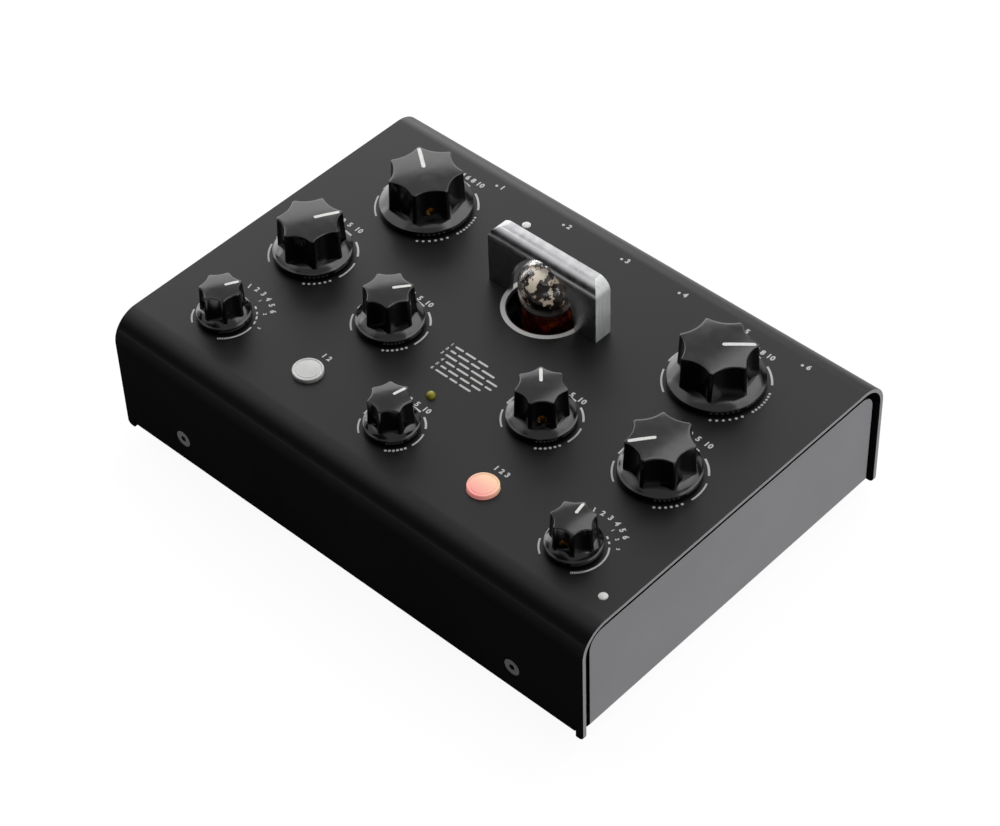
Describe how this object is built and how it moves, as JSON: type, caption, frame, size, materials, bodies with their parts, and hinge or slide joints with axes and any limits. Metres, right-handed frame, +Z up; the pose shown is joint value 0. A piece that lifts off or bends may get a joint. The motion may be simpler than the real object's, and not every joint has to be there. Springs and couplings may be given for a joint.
{
  "type": "delay pedal",
  "caption": "Desktop delay effect pedal: folded black sheet-metal case with fluted rotary controls, push buttons, and a small valve under a polished guard.",
  "frame": {"origin": "on the plane the feet rest on, midway across the overall width and depth", "axes": "+X to the right along the width, +Y from the front edge to the connectors, +Z up"},
  "size_m": [0.2, 0.144, 0.0717],
  "materials": {
    "black_powder_coat": "fine satin powder coat",
    "grey_sheet": "satin grey",
    "rubber": "matt",
    "zinc_steel": "bright zinc plate",
    "black_steel": "black oxide",
    "circuit_board": "solder mask",
    "brass": "turned",
    "control_body": "satin",
    "black_plastic": "moulded",
    "yellow_lens": "clear tinted epoxy",
    "white_lens": "milky",
    "valve_glass": "clear, smoked by the getter flash",
    "valve_metal": "greyed nickel",
    "mica": "split sheet",
    "socket_ceramic": "unglazed",
    "polished_steel": "polished",
    "white_cap": "satin moulded",
    "lit_cap": "translucent, lit from inside",
    "knob_gloss": "glossy moulded"
  },
  "bodies": {
    "case": {"cover": "black_powder_coat", "base_tray": "grey_sheet", "rubber_feet": "rubber", "foot_screws": "zinc_steel", "front_screws": "black_steel", "rear_screws": "black_steel", "main_board": "circuit_board", "board_standoffs": "brass", "board_screws": "zinc_steel", "control_board": "circuit_board", "potentiometers": "control_body", "rotary_switches": "control_body", "bushing_washers": "zinc_steel", "bushing_nuts": "zinc_steel", "button_switches": "black_plastic", "yellow_led": "yellow_lens", "indicator_lenses": "white_lens", "valve_glass": "valve_glass", "valve_anode": "valve_metal", "valve_micas": "mica", "valve_getter": "valve_metal", "valve_pins": "zinc_steel", "valve_socket": "socket_ceramic", "valve_guard": "polished_steel", "audio_jacks": "black_plastic", "jack_nuts": "zinc_steel", "data_socket": "black_plastic", "power_inlet": "black_plastic"},
    "large_left_control": {"knob_large_left": "knob_gloss", "shaft_large_left": "zinc_steel", "set_screw_large_left": "brass"},
    "large_right_control": {"knob_large_right": "knob_gloss", "shaft_large_right": "zinc_steel", "set_screw_large_right": "brass"},
    "medium_left_control": {"knob_medium_left": "knob_gloss", "shaft_medium_left": "zinc_steel", "set_screw_medium_left": "brass"},
    "medium_right_control": {"knob_medium_right": "knob_gloss", "shaft_medium_right": "zinc_steel", "set_screw_medium_right": "brass"},
    "inner_left_control": {"knob_inner_left": "knob_gloss", "shaft_inner_left": "zinc_steel", "set_screw_inner_left": "brass"},
    "inner_right_control": {"knob_inner_right": "knob_gloss", "shaft_inner_right": "zinc_steel", "set_screw_inner_right": "brass"},
    "centre_control": {"knob_centre": "knob_gloss", "shaft_centre": "zinc_steel", "set_screw_centre": "brass"},
    "mode_left_control": {"knob_mode_left": "knob_gloss", "shaft_mode_left": "zinc_steel", "set_screw_mode_left": "brass"},
    "mode_right_control": {"knob_mode_right": "knob_gloss", "shaft_mode_right": "zinc_steel", "set_screw_mode_right": "brass"},
    "white_button_cap": {"white_button": "white_cap"},
    "lit_button_cap": {"lit_button": "lit_cap"}
  },
  "joints": [
    {"name": "turn_large_left", "type": "hinge", "parent": "case", "child": "large_left_control", "pos_m": [-0.062, 0.0334, 0.0495], "axis": [0, 0, 1], "range_deg": [-203, 97]},
    {"name": "turn_large_right", "type": "hinge", "parent": "case", "child": "large_right_control", "pos_m": [0.062, 0.0334, 0.0495], "axis": [0, 0, 1], "range_deg": [-103, 197]},
    {"name": "turn_medium_left", "type": "hinge", "parent": "case", "child": "medium_left_control", "pos_m": [-0.074, -0.0074, 0.0495], "axis": [0, 0, 1], "range_deg": [-122, 178]},
    {"name": "turn_medium_right", "type": "hinge", "parent": "case", "child": "medium_right_control", "pos_m": [0.074, -0.0074, 0.0495], "axis": [0, 0, 1], "range_deg": [-289, 11]},
    {"name": "turn_inner_left", "type": "hinge", "parent": "case", "child": "inner_left_control", "pos_m": [-0.0323, -0.0142, 0.0495], "axis": [0, 0, 1], "range_deg": [-115, 185]},
    {"name": "turn_inner_right", "type": "hinge", "parent": "case", "child": "inner_right_control", "pos_m": [0.0323, -0.0142, 0.0495], "axis": [0, 0, 1], "range_deg": [-193, 107]},
    {"name": "turn_centre", "type": "hinge", "parent": "case", "child": "centre_control", "pos_m": [0, -0.0468, 0.0495], "axis": [0, 0, 1], "range_deg": [-141, 159]},
    {"name": "turn_mode_left", "type": "hinge", "parent": "case", "child": "mode_left_control", "pos_m": [-0.0744, -0.0468, 0.0495], "axis": [0, 0, 1], "range_deg": [-60, 90]},
    {"name": "turn_mode_right", "type": "hinge", "parent": "case", "child": "mode_right_control", "pos_m": [0.0744, -0.0468, 0.0495], "axis": [0, 0, 1], "range_deg": [-30, 30]},
    {"name": "press_white_button", "type": "slide", "parent": "case", "child": "white_button_cap", "axis": [0, 0, -1], "range_m": [0, 0.0009], "stiffness_N_per_m": 300, "springref_m": -0.002},
    {"name": "press_lit_button", "type": "slide", "parent": "case", "child": "lit_button_cap", "axis": [0, 0, -1], "range_m": [0, 0.0009], "stiffness_N_per_m": 300, "springref_m": -0.002}
  ]
}
